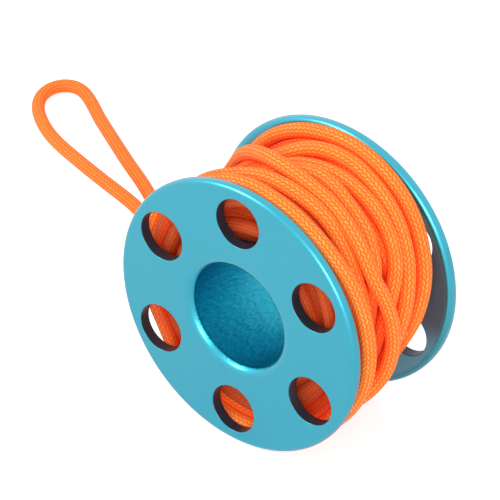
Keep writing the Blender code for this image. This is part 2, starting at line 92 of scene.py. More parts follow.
class Graph:
    """Places and wires nodes in one tree, of a material, a shader group or Geometry Nodes."""

    # Where a Mix node takes in its two colours and puts out the mixed one.
    FIRST_COLOUR = 6
    SECOND_COLOUR = 7
    MIXED_COLOUR = 2

    def __init__(self, tree: bpy.types.NodeTree) -> None:
        """Keeps the tree that the nodes go into."""
        self.tree = tree

    def fill(self, node: Node, inputs: Inputs) -> None:
        """Sets a node's inputs.

        Args:
            node: The node.
            inputs: By name or number, a value for each, or the socket that it is linked to.
        """
        for key, value in inputs.items():
            if isinstance(value, bpy.types.NodeSocket):
                self.tree.links.new(value, node.inputs[key])
            else:
                node.inputs[key].default_value = value

    def node(self, kind: str, inputs: Inputs | None = None, **settings: object) -> Node:
        """Adds one node.

        Args:
            kind: The node's Blender type.
            inputs: Its inputs, as fill takes them.
            settings: Properties to set on it.

        Returns:
            The new node.
        """
        made = self.tree.nodes.new(kind)
        for name, value in settings.items():
            setattr(made, name, value)
        self.fill(made, inputs or {})
        return made

    def math(self, operation: str, *values: Value) -> Socket:
        """Puts numbers or sockets through a Math node."""
        return self.node("ShaderNodeMath", dict(enumerate(values)), operation=operation).outputs[0]

    def smooth(self, value: Value, across: Sequence[float], onto: Span = (0.0, 1.0)) -> Socket:
        """Maps a value smoothly from one range onto another.

        Args:
            value: What is mapped.
            across: Where the change starts and ends.
            onto: The results at those two places.

        Returns:
            The mapped value.
        """
        made = self.node("ShaderNodeMapRange", {
            "Value": value, "From Min": across[0], "From Max": across[1],
            "To Min": onto[0], "To Max": onto[1],
        }, interpolation_type="SMOOTHSTEP")
        return made.outputs["Result"]

    def mix_colour(self, factor: Value, first: Colour | Socket, second: Colour | Socket) -> Socket:
        """Mixes two colours.

        Args:
            factor: How much of the second shows.
            first: The first colour or its source.
            second: The second colour or its source.

        Returns:
            The mixed colour.
        """
        made = self.node("ShaderNodeMix", {
            "Factor": factor, self.FIRST_COLOUR: first, self.SECOND_COLOUR: second,
        }, data_type="RGBA", clamp_factor=True)
        return made.outputs[self.MIXED_COLOUR]

    def noise(self, place: Socket, scale: Value, detail: float) -> Socket:
        """Adds a Noise Texture.

        Args:
            place: The position it reads.
            scale: Its scale, per metre.
            detail: Its octaves.

        Returns:
            Its grey value.
        """
        inputs = {"Vector": place, "Scale": scale, "Detail": detail}
        return self.node("ShaderNodeTexNoise", inputs, noise_dimensions="3D").outputs[0]

    def bump(self, height: Socket, depth: float, under: Socket | None = None) -> Socket:
        """Adds a Bump node.

        Args:
            height: The relief, from 0 to 1.
            depth: How far that is, in metres.
            under: The normal of a relief that this one lies on.

        Returns:
            The normal.
        """
        inputs = {"Height": height, "Distance": depth}
        if under is not None:
            inputs["Normal"] = under
        return self.node("ShaderNodeBump", inputs).outputs[0]

    def split(self, vector: Socket) -> list[Socket]:
        """The three numbers of a vector."""
        return list(self.node("ShaderNodeSeparateXYZ", {0: vector}).outputs)

    def join(self, *numbers: Value) -> Socket:
        """A vector of three numbers."""
        return self.node("ShaderNodeCombineXYZ", dict(enumerate(numbers))).outputs[0]

    def distance(self, first: Socket, second: Socket) -> Socket:
        """How far two sides at a right angle reach together."""
        squares = [self.math("POWER", side, 2.0) for side in (first, second)]
        return self.math("SQRT", self.math("ADD", *squares))

    def store(self, name: str, kind: str, shape: Socket, value: Socket) -> Socket:
        """Stores a value on each point of a shape.

        Args:
            name: The attribute's name.
            kind: Its data type.
            shape: The shape.
            value: What is stored.

        Returns:
            The shape that holds it.
        """
        inputs = {"Name": name, "Geometry": shape, "Value": value}
        return self.node("GeometryNodeStoreNamedAttribute", inputs, data_type=kind, domain="POINT").outputs[0]

    def dress(self, shape: Socket, finish: Socket, out: Node) -> None:
        """Ends a Geometry Nodes tree: smooth, with real instances, and with its material.

        Args:
            shape: The shape.
            finish: The material.
            out: The tree's output node.
        """
        soft = self.node("GeometryNodeSetShadeSmooth", {0: shape}, domain="FACE")
        whole = self.node("GeometryNodeRealizeInstances", {0: soft.outputs[0]})
        dressed = self.node("GeometryNodeSetMaterial", {"Geometry": whole.outputs[0], "Material": finish})
        self.fill(out, {0: dressed.outputs[0]})


def group_tree(name: str, tree_type: str, inputs: dict[str, Kind],
               outputs: dict[str, Kind]) -> tuple[Graph, dict[str, Socket], Node]:
    """Starts a node group with named sockets.

    Args:
        name: The group's name.
        tree_type: Its tree's Blender type.
        inputs: What each input carries.
        outputs: What each output carries.

    Returns:
        The group's graph, its inputs' sockets by name, and its output node.
    """
    tree = bpy.data.node_groups.new(name, tree_type)
    for direction, sockets in (("INPUT", inputs), ("OUTPUT", outputs)):
        for label, kind in sockets.items():
            tree.interface.new_socket(name=label, in_out=direction, socket_type=kind.value)
    graph = Graph(tree)
    given = {socket.name: socket for socket in graph.node("NodeGroupInput").outputs if socket.name}
    return graph, given, graph.node("NodeGroupOutput")


# Surface effects that the materials share

GRAIN_DETAIL = 2.0
MOTTLE_DETAIL = 3.0
# How much a yarn falls off toward its sides and its ends, and the heights between which the painted
# highlight on its crown starts.
YARN_SIDE_FALL = 0.8
YARN_END_FALL = 0.9
CROWN_HEIGHTS = (0.66, 1.0)


def grain_group() -> bpy.types.NodeTree:
    """Fine blasted grain and broad mottling, used by the metal and the cord.

    Returns:
        The shader group, with outputs Grain and Mottle.
    """
    graph, given, out = group_tree(
        "fine_grain", "ShaderNodeTree",
        {"Place": Kind.VECTOR, "Grain Scale": Kind.NUMBER, "Mottle Scale": Kind.NUMBER},
        {"Grain": Kind.NUMBER, "Mottle": Kind.NUMBER},
    )
    for label, detail in (("Grain", GRAIN_DETAIL), ("Mottle", MOTTLE_DETAIL)):
        graph.fill(out, {label: graph.noise(given["Place"], given[f"{label} Scale"], detail)})
    return graph.tree


def braid_group() -> bpy.types.NodeTree:
    """The herringbone of a braided cord, from how far along and where round the cord a point lies.

    Columns of short yarns run along the cord and lean to one side and the other in turn, as the carriers
    of a braiding machine lay them.

    Returns:
        The shader group, with outputs Height, Crown and Yarn, a different number for each yarn.
    """
    graph, given, out = group_tree(
        "herringbone_braid", "ShaderNodeTree",
        {"Run": Kind.NUMBER, "Wrap": Kind.VECTOR, "Columns": Kind.NUMBER, "Pick": Kind.NUMBER,
         "Lean": Kind.NUMBER},
        {"Height": Kind.NUMBER, "Crown": Kind.NUMBER, "Yarn": Kind.NUMBER},
    )
    right, up, _ = graph.split(given["Wrap"])
    turn = graph.math("DIVIDE", graph.math("ARCTAN2", up, right), 2 * math.pi)
    column = graph.math("MULTIPLY", graph.math("ADD", turn, 0.5), given["Columns"])
    number = graph.math("FLOOR", column)
    across = graph.math("SUBTRACT", graph.math("FRACT", column), 0.5)
    side = graph.math("FLOORED_MODULO", number, 2.0)
    lean = graph.math("MULTIPLY", graph.math("MULTIPLY_ADD", side, 2.0, -1.0), given["Lean"])
    along = graph.math("DIVIDE", given["Run"], given["Pick"])
    along = graph.math("ADD", along, graph.math("MULTIPLY", across, lean))
    along = graph.math("MULTIPLY_ADD", side, 0.5, along)
    place = graph.math("SUBTRACT", graph.math("FRACT", along), 0.5)
    falls = []
    for offset, share in ((across, YARN_SIDE_FALL), (place, YARN_END_FALL)):
        square = graph.math("POWER", graph.math("MULTIPLY", offset, 2.0), 2.0)
        falls.append(graph.math("MULTIPLY", square, share))
    left = graph.math("MAXIMUM", graph.math("SUBTRACT", 1.0, graph.math("ADD", *falls)), 0.0)
    height = graph.math("SQRT", left)
    cell = graph.join(number, graph.math("FLOOR", along))
    random = graph.node("ShaderNodeTexWhiteNoise", {"Vector": cell}, noise_dimensions="3D")
    # Where the cord's material paints a highlight on each yarn's top.
    crown_highlight = graph.smooth(height, CROWN_HEIGHTS)
    graph.fill(out, {"Height": height, "Crown": crown_highlight, "Yarn": random.outputs["Value"]})
    return graph.tree


# The spool's sizes and its finishes


@dataclass(frozen=True)
class SpoolSizes:
    """The spool's own sizes, in metres, shared by the metal and the cord."""

    flange_radius: float = 0.030
    half_width: float = 0.017
    flange: float = 0.0026
    bore_radius: float = 0.0115
    hub_wall: float = 0.003
    line: float = 0.0031
    axis_height: float = 0.029959
    holes: int = 6
    hole_radius: float = 0.0053
    hole_circle: float = 0.0223
    first_hole_degrees: float = 1.55

    @property
    def inner_face(self) -> float:
        """Where each flange's inner face lies along the axis."""
        return self.half_width - self.flange

    @property
    def hub_radius(self) -> float:
        """Radius of the hub that the cord is wound on."""
        return self.bore_radius + self.hub_wall

    def place(self, angle: float, radius: float, along: float) -> Place:
        """A point at this angle from the top toward +X, this far from the axis and along it."""
        return (radius * math.sin(angle), along, self.axis_height + radius * math.cos(angle))


class Bench:
    """A new material, with its shader, the shared grain, and where each point lies on the spool.

    across, depth and lift are a point's distances from the middle of the axis toward +X, +Y and +Z, and
    radius is its distance from the axis.
    """

    def __init__(self, name: str, sizes: SpoolSizes, grain: bpy.types.NodeTree, scales: Span) -> None:
        """Starts the material.

        Args:
            name: Its name.
            sizes: The spool's sizes.
            grain: The shared grain group.
            scales: The scales of its grain and its mottling, per metre.
        """
        self.material = bpy.data.materials.new(name)
        self.material.use_nodes = True
        self.graph = Graph(self.material.node_tree)
        self.shader = self.material.node_tree.nodes["Principled BSDF"]
        place = self.graph.node("ShaderNodeTexCoord").outputs["Object"]
        inputs = {"Place": place, "Grain Scale": scales[0], "Mottle Scale": scales[1]}
        self.fine = self.graph.node("ShaderNodeGroup", inputs, node_tree=grain).outputs
        self.place = place
        self.across, self.depth, height = self.graph.split(place)
        self.lift = self.graph.math("SUBTRACT", height, sizes.axis_height)
        self.radius = self.graph.distance(self.across, self.lift)

    def vary(self, middle: float, spread: float, amount: Socket) -> Socket:
        """A number that varies by a spread about its middle, as the amount goes from 0 to 1."""
        return self.graph.math("MULTIPLY_ADD", amount, spread, middle - spread / 2)


@dataclass(frozen=True)
class MetalFinish:
    """Blasted, anodised aluminium.

    The oxide on it is clear and hard. The bore keeps faint turning ripples that the blasting didn't reach.
    The drilled walls get a charcoal painted shade, and the flanges' inner walls and the hub a dull teal
    painted shade with a grey band of painted shadow across their middle.
    """

    name: str
    sizes: SpoolSizes
    colour: Colour = (0.026, 0.475, 0.632, 1.0)
    deep_colour: Colour = (0.018, 0.449, 0.606, 1.0)
    # Painted shade: flat charcoal on the drilled walls, in place of the dark that their metal reflects in
    # shade.
    drilled: Colour = (0.008, 0.028, 0.044, 1.0)
    # Painted shade on the flanges' inner walls and the hub: a dull teal, a grey band of painted shadow, and
    # how strongly it shows.
    inner_wall_shade: Colour = (0.10, 0.36, 0.48, 1.0)
    inner_shadow: Colour = (0.066, 0.080, 0.112, 1.0)
    inner_shade: float = 0.85
    roughness: float = 0.34
    roughness_spread: float = 0.06
    coat_index: float = 1.6
    coat_roughness: float = 0.16
    bore_coat: float = 0.15
    grain_scales: Span = (9000.0, 70.0)
    grain_depth: float = 0.000004
    ripple_depth: float = 0.00016
    ripple_scale: float = 1700.0
    ripple_detail: float = 2.0
    ripple_stretch: float = 0.35
    # Where the painted shade fades into the metal, in metres: past a hole's wall, past a flange's inner face,
    # out from the axis near the rim, and over and under the axis for the grey band of painted shadow.
    hole_edge: Span = (0.00003, 0.00013)
    face_edge: Span = (0.0001, 0.0004)
    rim_edge: Span = (0.0282, 0.0294)
    band_top: Span = (0.009, 0.021)
    band_bottom: Span = (-0.014, -0.006)
    # Where the bore's own finish ends, and where the painted shade of the hub and inner walls begins,
    # as shares of the bore's radius.
    bore_shares: Span = (1.005, 1.03)
    hub_shares: Span = (1.10, 1.12)

    def drilled_walls(self, bench: Bench) -> Socket:
        """Finds the walls of the drilled holes.

        Args:
            bench: The material.

        Returns:
            1 on a hole's wall, where the charcoal painted shade goes, 0 elsewhere.
        """
        graph, sizes = bench.graph, self.sizes
        apart = 2 * math.pi / sizes.holes
        turn = graph.math("ARCTAN2", bench.across, bench.lift)
        turn = graph.math("SUBTRACT", turn, math.radians(sizes.first_hole_degrees))
        fold = graph.math("FLOORED_MODULO", graph.math("ADD", turn, apart / 2), apart)
        fold = graph.math("SUBTRACT", fold, apart / 2)
        aside = graph.math("MULTIPLY", bench.radius, graph.math("SINE", fold))
        out = graph.math("MULTIPLY", bench.radius, graph.math("COSINE", fold))
        away = graph.distance(aside, graph.math("SUBTRACT", out, sizes.hole_circle))
        return graph.smooth(away, [sizes.hole_radius + past for past in self.hole_edge], (1.0, 0.0))

    def inner_walls(self, bench: Bench) -> Socket:
        """Finds the flanges' inner walls and the hub between them.

        Args:
            bench: The material.

        Returns:
            How much painted shade they get, 0 elsewhere.
        """
        graph, sizes = bench.graph, self.sizes
        face = [sizes.inner_face + past for past in self.face_edge]
        within = graph.smooth(graph.math("ABSOLUTE", bench.depth), face, (self.inner_shade, 0.0))
        within = graph.math("MULTIPLY", within, graph.smooth(bench.radius, self.rim_edge, (1.0, 0.0)))
        outside = graph.smooth(bench.radius, [sizes.bore_radius * share for share in self.hub_shares])
        return graph.math("MULTIPLY", within, outside)

    def build(self, grain: bpy.types.NodeTree) -> bpy.types.Material:
        """Makes the material.

        Args:
            grain: The shared grain group.

        Returns:
            The material.
        """
        bench = Bench(self.name, self.sizes, grain, self.grain_scales)
        graph = bench.graph
        drilled = self.drilled_walls(bench)
        # Painted shade: the inner walls and the hub lose their metal and take a dull teal, with a grey band
        # of painted shadow across their middle.
        wall = self.inner_walls(bench)
        dyed = graph.mix_colour(bench.fine["Mottle"], self.deep_colour, self.colour)
        over = graph.smooth(bench.lift, self.band_top, (1.0, 0.0))
        band = graph.math("MULTIPLY", over, graph.smooth(bench.lift, self.band_bottom))
        shaded = graph.mix_colour(band, self.inner_wall_shade, self.inner_shadow)
        walled = graph.mix_colour(wall, dyed, shaded)
        # The metal and its coat show only where no shade is painted.
        bright = graph.math("SUBTRACT", 1.0, graph.math("MAXIMUM", drilled, wall))
        bore = [self.sizes.bore_radius * share for share in self.bore_shares]
        inside = graph.smooth(bench.radius, bore, (1.0, 0.0))
        thin = graph.math("MULTIPLY_ADD", inside, self.bore_coat - 1.0, 1.0)
        stretched = graph.node("ShaderNodeMapping", {
            "Vector": bench.place, "Scale": (1.0, self.ripple_stretch, 1.0),
        }, vector_type="POINT")
        ripple = graph.noise(stretched.outputs[0], self.ripple_scale, self.ripple_detail)
        rippled = graph.bump(graph.math("MULTIPLY", ripple, inside), self.ripple_depth)
        graph.fill(bench.shader, {
            # Painted shade: charcoal on the drilled walls, over the dyed metal and the inner walls' painted
            # shade.
            "Base Color": graph.mix_colour(drilled, walled, self.drilled),
            "Metallic": bright,
            "Roughness": bench.vary(self.roughness, self.roughness_spread, bench.fine["Grain"]),
            "Coat Weight": graph.math("MULTIPLY", bright, thin),
            "Coat IOR": self.coat_index,
            "Coat Roughness": self.coat_roughness,
            "Normal": graph.bump(bench.fine["Grain"], self.grain_depth, rippled),
        })
        return bench.material


@dataclass(frozen=True)
class CordFinish:
    """Braided polyester: a herringbone of short yarns, with painted highlights on their tops, painted shade
    in the grooves between them, and a painted red glow, for the dye's fluorescence, that lifts its shade.

    Deep in the winding, near the spool's axis, painted shade makes it a darker red.
    """

    name: str
    sizes: SpoolSizes
    yarn: Colour = (1.0, 0.305, 0.032, 1.0)
    # Painted shade in the grooves between the yarns.
    groove_shade: Colour = (0.97, 0.150, 0.008, 1.0)
    # A painted highlight on the yarns' tops.
    crown_highlight: Colour = (1.0, 0.49, 0.13, 1.0)
    # Painted shade inside the winding: a darker red toward the axis, its strength, and the radii over which
    # it fades out.
    deep_shade: Colour = (0.62, 0.040, 0.006, 1.0)
    # A painted red glow: the cord gives off a little light of its own, which lifts its shade, for the dye's
    # fluorescence.
    glow: Colour = (0.20, 0.004, 0.0, 1.0)
    deepest_shade: float = 0.8
    shade_radii: Span = (0.0240, 0.0281)
    columns: float = 12.0
    pick: float = 0.00115
    lean: float = 0.8
    # How strongly the painted highlight on each yarn shows, varying at random from yarn to yarn.
    least_crown: float = 0.30
    crown_spread: float = 0.65
    relief: float = 0.00010
    fibre: float = 0.10
    grain_scales: Span = (14000.0, 160.0)
    roughness: float = 0.62
    roughness_spread: float = 0.12
    sheen: float = 0.05
    sheen_roughness: float = 0.4
    specular: float = 0.3

    def build(self, braid: bpy.types.NodeTree, grain: bpy.types.NodeTree) -> bpy.types.Material:
        """Makes the material.

        Args:
            braid: The shared braid group.
            grain: The shared grain group.

        Returns:
            The material.
        """
        bench = Bench(self.name, self.sizes, grain, self.grain_scales)
        graph = bench.graph
        lay = graph.node("ShaderNodeGroup", {
            "Run": graph.node("ShaderNodeAttribute", attribute_name="run").outputs["Fac"],
            "Wrap": graph.node("ShaderNodeAttribute", attribute_name="wrap").outputs["Vector"],
            "Columns": self.columns, "Pick": self.pick, "Lean": self.lean,
        }, node_tree=braid).outputs
        # Painted shade in the grooves between the yarns, where the relief is low.
        colour = graph.mix_colour(lay["Height"], self.groove_shade, self.yarn)
        light = graph.math("MULTIPLY_ADD", lay["Yarn"], self.crown_spread, self.least_crown)
        # A painted highlight on each yarn's top, stronger or weaker at random.
        colour = graph.mix_colour(graph.math("MULTIPLY", lay["Crown"], light), colour, self.crown_highlight)
        # Painted shade: a darker red toward the spool's axis, inside the winding.
        under = graph.smooth(bench.radius, self.shade_radii, (self.deepest_shade, 0.0))
        fibre = graph.math("MULTIPLY_ADD", bench.fine["Grain"], self.fibre, lay["Height"])
        graph.fill(bench.shader, {
            "Base Color": graph.mix_colour(under, colour, self.deep_shade),
            "Roughness": bench.vary(self.roughness, self.roughness_spread, bench.fine["Mottle"]),
            # Painted glow: a little red light given off by the cord itself.
            "Emission Color": self.glow,
            "Emission Strength": 1.0,
            "Sheen Weight": self.sheen,
            "Sheen Roughness": self.sheen_roughness,
            "Specular IOR Level": self.specular,
            "Normal": graph.bump(fibre, self.relief),
        })
        return bench.material


# Geometry Nodes trees, and lines and meshes


def cord_tree() -> bpy.types.NodeTree:
    """Sweeps a round cord along a line, and stores how far along and where round it each point lies.

    Returns:
        The Geometry Nodes tree.
    """
    graph, given, out = group_tree(
        "swept_cord", "GeometryNodeTree",
        {"Line": Kind.SHAPE, "Diameter": Kind.NUMBER, "Ring Step": Kind.NUMBER, "Sides": Kind.COUNT,
         "Finish": Kind.FINISH},
        {"Cord": Kind.SHAPE},
    )
    curve = graph.node("GeometryNodeMeshToCurve", {"Mesh": given["Line"]}).outputs[0]
    even = graph.node("GeometryNodeResampleCurve", {"Curve": curve, "Length": given["Ring Step"]},
                      mode="LENGTH")
    length = graph.node("GeometryNodeSplineParameter").outputs["Length"]
    path = graph.store("run", "FLOAT", even.outputs[0], length)
    ring = graph.node("GeometryNodeCurvePrimitiveCircle", {"Resolution": given["Sides"], "Radius": 1.0},
                      mode="RADIUS")
    around = graph.node("GeometryNodeInputPosition").outputs[0]
    ring = graph.store("wrap", "FLOAT_VECTOR", ring.outputs["Curve"], around)
    half = graph.math("DIVIDE", given["Diameter"], 2.0)
    size = graph.node("GeometryNodeTransform", {"Geometry": ring, "Scale": graph.join(half, half, half)})
    sweep = graph.node("GeometryNodeCurveToMesh", {
        "Curve": path, "Profile Curve": size.outputs[0], "Fill Caps": True,
    })
    graph.dress(sweep.outputs[0], given["Finish"], out)
    return graph.tree


def drill_tree() -> bpy.types.NodeTree:
    """Drills a ring of holes round the spool's axis.

    Returns:
        The Geometry Nodes tree.
    """
    graph, given, out = group_tree(
        "drilled_ring", "GeometryNodeTree",
        {"Blank": Kind.SHAPE, "Drill": Kind.PIECE, "Holes": Kind.COUNT, "First Angle": Kind.NUMBER,
         "Circle Radius": Kind.NUMBER, "Axis Height": Kind.NUMBER, "Finish": Kind.FINISH},
        {"Body": Kind.SHAPE},
    )
    share = graph.math("DIVIDE", graph.node("GeometryNodeInputIndex").outputs[0], given["Holes"])
    angle = graph.math("MULTIPLY_ADD", share, 2 * math.pi, given["First Angle"])
    aside = graph.math("MULTIPLY", graph.math("SINE", angle), given["Circle Radius"])
    rise = graph.math("MULTIPLY", graph.math("COSINE", angle), given["Circle Radius"])
    place = graph.join(aside, 0.0, graph.math("ADD", rise, given["Axis Height"]))
    points = graph.node("GeometryNodePoints", {"Count": given["Holes"], "Position": place}).outputs[0]
    drill = graph.node("GeometryNodeObjectInfo", {"Object": given["Drill"]}, transform_space="ORIGINAL")
    copies = graph.node("GeometryNodeInstanceOnPoints", {
        "Points": points, "Instance": drill.outputs["Geometry"],
    })
    real = graph.node("GeometryNodeRealizeInstances", {0: copies.outputs[0]})
    cut = graph.node("GeometryNodeMeshBoolean", {"Mesh 1": given["Blank"], "Mesh 2": real.outputs[0]},
                     operation="DIFFERENCE", solver="EXACT")
    graph.dress(cut.outputs[0], given["Finish"], out)
    return graph.tree


def link(name: str, data: bpy.types.ID) -> bpy.types.Object:
    """Puts a mesh, a camera or a lamp into the scene as an object.

    Args:
        name: The object's name.
        data: The mesh, the camera or the lamp.

    Returns:
        The object, at the origin.
    """
    made = bpy.data.objects.new(name, data)
    bpy.context.scene.collection.objects.link(made)
    return made


def applied(piece: bpy.types.Object, modifier: bpy.types.Modifier) -> bpy.types.Mesh:
    """Applies a piece's modifier.

    Args:
        piece: The piece.
        modifier: The modifier, which is removed.

    Returns:
        The result as a new plain mesh.
    """
    bpy.context.view_layer.update()
    evaluated = piece.evaluated_get(bpy.context.evaluated_depsgraph_get())
    mesh = bpy.data.meshes.new_from_object(evaluated)
    piece.modifiers.remove(modifier)
    return mesh


def grow(name: str, base: bpy.types.Mesh, tree: bpy.types.NodeTree,
         sizes: dict[str, object]) -> bpy.types.Object:
    """Runs a Geometry Nodes tree on a mesh and keeps the result as a plain mesh.

    Args:
        name: The finished piece's name.
        base: The mesh that the tree starts from.
        tree: The tree.
        sizes: Its inputs by name.

    Returns:
        The finished object, at the origin, with no modifier.
    """
    carrier = link(name + "_base", base)
    modifier = carrier.modifiers.new("build", "NODES")
    modifier.node_group = tree
    sockets = {item.name: item.identifier for item in tree.interface.items_tree if item.in_out == "INPUT"}
    for label, value in sizes.items():
        modifier[sockets[label]] = value
    mesh = applied(carrier, modifier)
    mesh.name = name
    bpy.data.objects.remove(carrier)
    return link(name, mesh)


def shell(name: str, bm: bmesh.types.BMesh) -> bpy.types.Mesh:
    """Turns a closed shell's faces outward and keeps it as a mesh.

    Args:
        name: The mesh's name.
        bm: The shell, which is freed.

    Returns:
        The mesh.
    """
    bmesh.ops.recalc_face_normals(bm, faces=bm.faces)
    mesh = bpy.data.meshes.new(name)
    bm.to_mesh(mesh)
    bm.free()
    return mesh


def smooth_line(route: np.ndarray, per_span: int) -> np.ndarray:
    """A smooth line through every point of a route.

    Args:
        route: The points, one a row.
        per_span: How many points each span gets.

    Returns:
        The denser points, the route's own among them.
    """
    ends = np.vstack([2 * route[0] - route[1], route, 2 * route[-1] - route[-2]])
    t = (np.arange(per_span) / per_span)[:, None]
    spans = []
    for p0, p1, p2, p3 in zip(ends, ends[1:], ends[2:], ends[3:]):
        spans.append(0.5 * (2 * p1 + (p2 - p0) * t + (2 * p0 - 5 * p1 + 4 * p2 - p3) * t ** 2
                            + (3 * p1 - p0 - 3 * p2 + p3) * t ** 3))
    return np.vstack([*spans, route[-1:]])


def ease(points: np.ndarray, step: float, passes: int) -> np.ndarray:
    """Rounds the bends of a line, with its ends kept where they are.

    Args:
        points: The line's points, one a row.
        step: How far apart the new points lie.
        passes: How often each point moves to the middle of its neighbours.

    Returns:
        The eased line.
    """
    along = np.concatenate([[0.0], np.cumsum(np.linalg.norm(np.diff(points, axis=0), axis=1))])
    places = np.linspace(0.0, along[-1], round(along[-1] / step) + 1)
    even = np.stack([np.interp(places, along, column) for column in points.T], 1)
    for _ in range(passes):
        even[1:-1] = (even[:-2] + 2 * even[1:-1] + even[2:]) / 4
    return even


def settle(piece: bpy.types.Object, slot: Slot, *parts: Part) -> bpy.types.Object:
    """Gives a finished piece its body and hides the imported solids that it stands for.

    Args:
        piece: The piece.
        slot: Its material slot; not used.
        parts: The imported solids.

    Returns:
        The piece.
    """
    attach(piece, "root")
    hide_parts(*(part.value for part in parts))
    log.info("%s: %d faces", piece.name, len(piece.data.polygons))
    return piece


@dataclass(frozen=True)
class CordMaker:
    """Sweeps the cord along a line."""

    tree: bpy.types.NodeTree
    diameter: float

    def sweep(self, name: str, points: np.ndarray, step: float, sides: int,
              finish: bpy.types.Material) -> bpy.types.Object:
        """Makes one length of cord.

        Args:
            name: The piece's name.
            points: The line that it follows.
            step: How far apart its rings lie.
            sides: How many sides each ring has.
            finish: Its material.

        Returns:
            The length of cord.
        """
        line = bpy.data.meshes.new(name)
        line.from_pydata([tuple(p) for p in points], [(i, i + 1) for i in range(len(points) - 1)], [])
        sizes = {"Diameter": self.diameter, "Ring Step": step, "Sides": sides, "Finish": finish}
        return grow(name, line, self.tree, sizes)


# The metal body


@dataclass
class TurnedBody:
    """The turned and drilled metal body."""

    sizes: SpoolSizes
    mouth_radius: float = 0.0018
    edge_radius: float = 0.0010
    root_radius: float = 0.0008
    mouth_steps: int = 10
    edge_steps: int = 6
    sides: int = 192
    # Where the bore's and the hub's walls have a ring of points, from the middle out.
    wall_shares: tuple[float, ...] = (0.0, 0.35, 0.7)
    # The drill rounds each hole's edge by this much, with a ring of points at each of these angles, and
    # runs on past each face.
    hole_edge: float = 0.00028
    hole_edge_degrees: tuple[float, ...] = (75, 56, 37, 18, 0)
    hole_sides: int = 72
    overrun: float = 0.0006
    # How much the flat faces outweigh the round edges in the shading.
    face_weight: int = 100

    def fillet(self, centre: Span, radius: float, start: float, end: float, steps: int) -> list[Span]:
        """Points of an arc in the turned section.

        Args:
            centre: The arc's centre, as (radius, along).
            radius: The arc's radius.
            start: Its first angle in degrees, from outward toward the front.
            end: Its last angle.
            steps: How many spans it has.

        Returns:
            (radius, along) pairs.
        """
        found = []
        for i in range(steps + 1):
            turn = math.radians(start + (end - start) * i / steps)
            found.append((centre[0] + radius * math.cos(turn), centre[1] + radius * math.sin(turn)))
        return found

    def section(self) -> list[Span]:
        """The turned section, round the bore, both faces, rims and inner walls.

        Returns:
            (radius, along) pairs.
        """
        s, steps = self.sizes, self.edge_steps
        mouth, edge, root = self.mouth_radius, self.edge_radius, self.root_radius
        half = [(s.bore_radius, share * (s.half_width - mouth)) for share in self.wall_shares]
        half += self.fillet((s.bore_radius + mouth, s.half_width - mouth), mouth, 180, 90, self.mouth_steps)
        half += self.fillet((s.flange_radius - edge, s.half_width - edge), edge, 90, 0, steps)
        half += self.fillet((s.flange_radius - edge, s.inner_face + edge), edge, 0, -90, steps)
        half += self.fillet((s.hub_radius + root, s.inner_face - root), root, 90, 180, steps)
        half += [(s.hub_radius, share * (s.inner_face - root)) for share in reversed(self.wall_shares)]
        return half + [(radius, -along) for radius, along in half[-2:0:-1]]

    def blank(self) -> bpy.types.Mesh:
        """Turns the blank.

        Returns:
            Its mesh, without holes.
        """
        bm = bmesh.new()
        rows = self.section()
        columns = []
        for i in range(self.sides):
            angle = 2 * math.pi * (i + 0.5) / self.sides
            columns.append([bm.verts.new(self.sizes.place(angle, radius, along)) for radius, along in rows])
        for i, column in enumerate(columns):
            beside = columns[(i + 1) % self.sides]
            for j in range(len(rows)):
                k = (j + 1) % len(rows)
                bm.faces.new((column[j], column[k], beside[k], beside[j]))
        return shell("turned_blank", bm)

    def drill_rows(self) -> list[Span]:
        """The drill's outline, which leaves a small round edge at every face.

        Returns:
            (along, radius) pairs, front to back.
        """
        s, edge = self.sizes, self.hole_edge
        angles = [math.radians(degrees) for degrees in self.hole_edge_degrees]
        rounding = [(edge * (1 - math.sin(a)), s.hole_radius + edge * (1 - math.cos(a))) for a in angles]
        flare = rounding[0][1] + self.overrun * math.tan(angles[0])
        half = [(s.half_width + self.overrun, flare)]
        half += [(s.half_width - depth, wide) for depth, wide in rounding]
        half += [(s.inner_face + depth, wide) for depth, wide in reversed(rounding)]
        half += [(s.inner_face - self.overrun, flare)]
        return half + [(-along, wide) for along, wide in reversed(half)]

    def drill(self) -> bpy.types.Object:
        """Makes one drill.

        Returns:
            The drill, lying along the spool's axis at the origin.
        """
        bm = bmesh.new()
        rings = []
        for along, radius in self.drill_rows():
            turns = [2 * math.pi * j / self.hole_sides for j in range(self.hole_sides)]
            rings.append([bm.verts.new((radius * math.sin(t), along, radius * math.cos(t))) for t in turns])
        for near, far in zip(rings, rings[1:]):
            for j in range(self.hole_sides):
                k = (j + 1) % self.hole_sides
                bm.faces.new((near[j], near[k], far[k], far[j]))
        bm.faces.new(rings[0])
        bm.faces.new(rings[-1])
        return link("flange_drill", shell("flange_drill", bm))

    def build(self, finish: bpy.types.Material) -> bpy.types.Object:
        """Turns, drills and dresses the body.

        Args:
            finish: The metal's material.

        Returns:
            The finished body.
        """
        drill, s = self.drill(), self.sizes
        body = grow("metal_body", self.blank(), drill_tree(), {
            "Drill": drill, "Holes": s.holes, "First Angle": math.radians(s.first_hole_degrees),
            "Circle Radius": s.hole_circle, "Axis Height": s.axis_height, "Finish": finish,
        })
        bpy.data.objects.remove(drill)
        weigh = body.modifiers.new("flat_faces_first", "WEIGHTED_NORMAL")
        weigh.mode = "FACE_AREA"
        weigh.weight = self.face_weight
        body.data = applied(body, weigh)
        body.data.name = body.name
        return settle(body, Slot.METAL, Part.BODY)


# The wound cord


